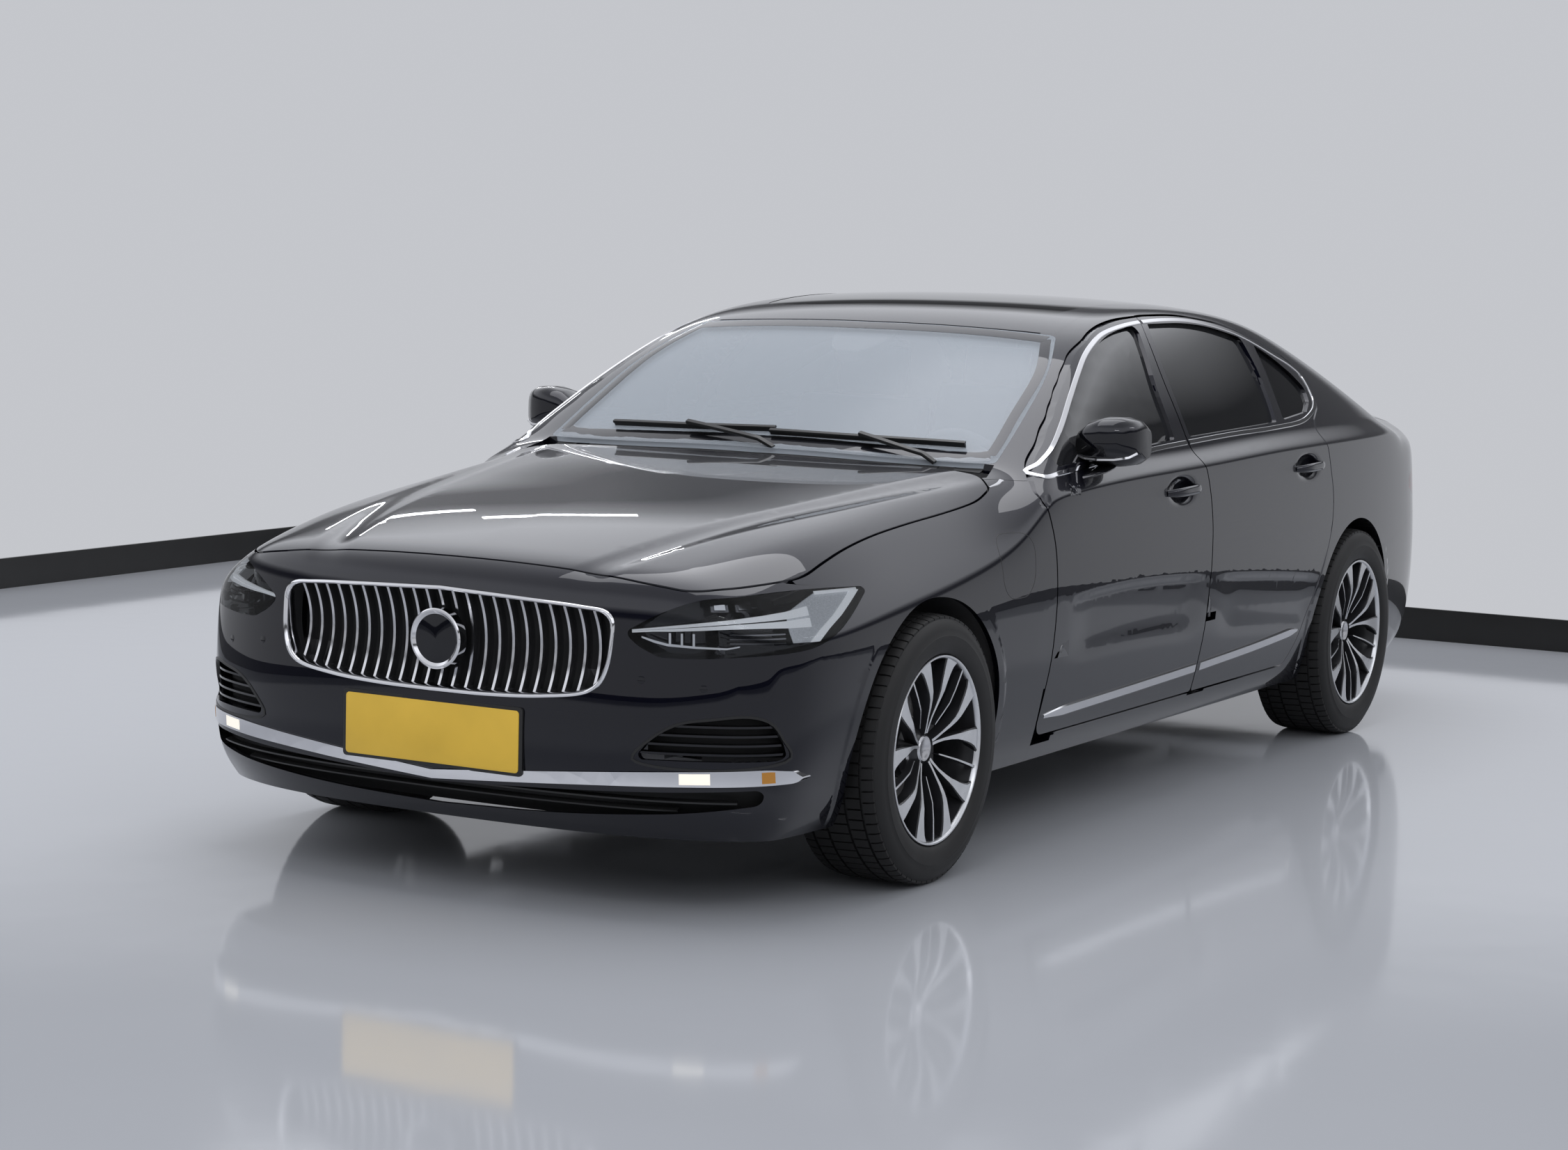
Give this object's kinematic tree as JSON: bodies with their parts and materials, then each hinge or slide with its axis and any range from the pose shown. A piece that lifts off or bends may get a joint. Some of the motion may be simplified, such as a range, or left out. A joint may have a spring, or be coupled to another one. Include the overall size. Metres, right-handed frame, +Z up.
{
  "type": "four-door saloon car",
  "caption": "Long four-door saloon car with opening doors, hood and boot lid, steered front wheels and a hollow cabin.",
  "frame": {"origin": "on the floor under the middle of the whole car", "axes": "-Y to the nose, +X to the car's left, +Z up"},
  "size_m": [2.02, 5.084, 1.4418],
  "materials": {
    "paint": "gloss",
    "bumper_paint": "gloss",
    "screen_glass": "gloss",
    "dark_glass": "gloss",
    "chrome": "polished",
    "lamp": "gloss",
    "red_lamp": "gloss",
    "tyre": "matte",
    "alloy": "machined",
    "chassis": "satin",
    "casting": "rough",
    "exhaust_steel": "satin",
    "inner_plastic": "matte",
    "seat_leather": "satin"
  },
  "bodies": {
    "body": {"body_side_left": "paint", "body_side_right": "paint", "fender_left": "paint", "fender_right": "paint", "roof": "paint", "front_bumper": "bumper_paint", "rear_bumper": "bumper_paint", "windscreen": "screen_glass", "rear_window": "dark_glass", "roof_glass": "dark_glass", "grille": "chrome", "bumper_strip": "chrome", "headlamps": "lamp", "tail_lamps": "red_lamp", "floor_pan": "chassis", "boot_tub": "chassis", "front_structure": "chassis", "front_subframe": "chassis", "rear_subframe": "chassis", "engine": "casting", "exhaust": "exhaust_steel", "dashboard": "inner_plastic", "front_seats": "seat_leather", "rear_bench": "seat_leather"},
    "hood": {"hood": "paint"},
    "boot_lid": {"boot_lid": "paint"},
    "steering_wheel": {"steering_wheel": "inner_plastic"},
    "front_door_left": {"front_door_left": "paint", "front_door_glass_left": "dark_glass", "mirror_left": "bumper_paint"},
    "rear_door_left": {"rear_door_left": "paint", "rear_door_glass_left": "dark_glass"},
    "knuckle_left": {"knuckle_left": "casting"},
    "wheel_front_left": {"tyre_front_left": "tyre", "rim_front_left": "alloy"},
    "wheel_rear_left": {"tyre_rear_left": "tyre", "rim_rear_left": "alloy"},
    "front_door_right": {"front_door_right": "paint", "front_door_glass_right": "dark_glass", "mirror_right": "bumper_paint"},
    "rear_door_right": {"rear_door_right": "paint", "rear_door_glass_right": "dark_glass"},
    "knuckle_right": {"knuckle_right": "casting"},
    "wheel_front_right": {"tyre_front_right": "tyre", "rim_front_right": "alloy"},
    "wheel_rear_right": {"tyre_rear_right": "tyre", "rim_rear_right": "alloy"}
  },
  "joints": [
    {"name": "steering", "type": "hinge", "parent": "body", "child": "knuckle_left", "pos_m": [0.76, -1.6695, 0.341], "axis": [0, 0, 1], "range_deg": [-36, 36]},
    {"name": "front_wheel_left", "type": "hinge", "parent": "knuckle_left", "child": "wheel_front_left", "pos_m": [0.814, -1.6695, 0.341], "axis": [1, 0, 0], "continuous": true},
    {"name": "rear_wheel_left", "type": "hinge", "parent": "body", "child": "wheel_rear_left", "pos_m": [0.814, 1.3915, 0.341], "axis": [1, 0, 0], "continuous": true},
    {"name": "front_door_left", "type": "hinge", "parent": "body", "child": "front_door_left", "pos_m": [0.92, -0.9395, 0.66], "axis": [0, 0, -1], "range_deg": [0, 65]},
    {"name": "rear_door_left", "type": "hinge", "parent": "body", "child": "rear_door_left", "pos_m": [0.925, 0.1025, 0.66], "axis": [0, 0, -1], "range_deg": [0, 65]},
    {"name": "steering_right", "type": "hinge", "parent": "body", "child": "knuckle_right", "pos_m": [-0.76, -1.6695, 0.341], "axis": [0, 0, 1], "range_deg": [-36, 36]},
    {"name": "front_wheel_right", "type": "hinge", "parent": "knuckle_right", "child": "wheel_front_right", "pos_m": [-0.814, -1.6695, 0.341], "axis": [1, 0, 0], "continuous": true},
    {"name": "rear_wheel_right", "type": "hinge", "parent": "body", "child": "wheel_rear_right", "pos_m": [-0.814, 1.3915, 0.341], "axis": [1, 0, 0], "continuous": true},
    {"name": "front_door_right", "type": "hinge", "parent": "body", "child": "front_door_right", "pos_m": [-0.92, -0.9395, 0.66], "axis": [0, 0, 1], "range_deg": [0, 65]},
    {"name": "rear_door_right", "type": "hinge", "parent": "body", "child": "rear_door_right", "pos_m": [-0.925, 0.1025, 0.66], "axis": [0, 0, 1], "range_deg": [0, 65]},
    {"name": "hood", "type": "hinge", "parent": "body", "child": "hood", "pos_m": [0, -1.0415, 0.958], "axis": [-1, 0, 0], "range_deg": [0, 55]},
    {"name": "boot_lid", "type": "hinge", "parent": "body", "child": "boot_lid", "pos_m": [0, 1.7095, 1.06], "axis": [1, 0, 0], "range_deg": [0, 75]},
    {"name": "steering_wheel", "type": "hinge", "parent": "body", "child": "steering_wheel", "pos_m": [0.37, -0.4395, 0.9], "axis": [0, 0.9205, 0.3907], "range_deg": [-510, 510]}
  ],
  "couplings": [
    {"joint": "steering_right", "follows": "steering", "ratio": 1},
    {"joint": "steering_wheel", "follows": "steering", "ratio": 14}
  ]
}
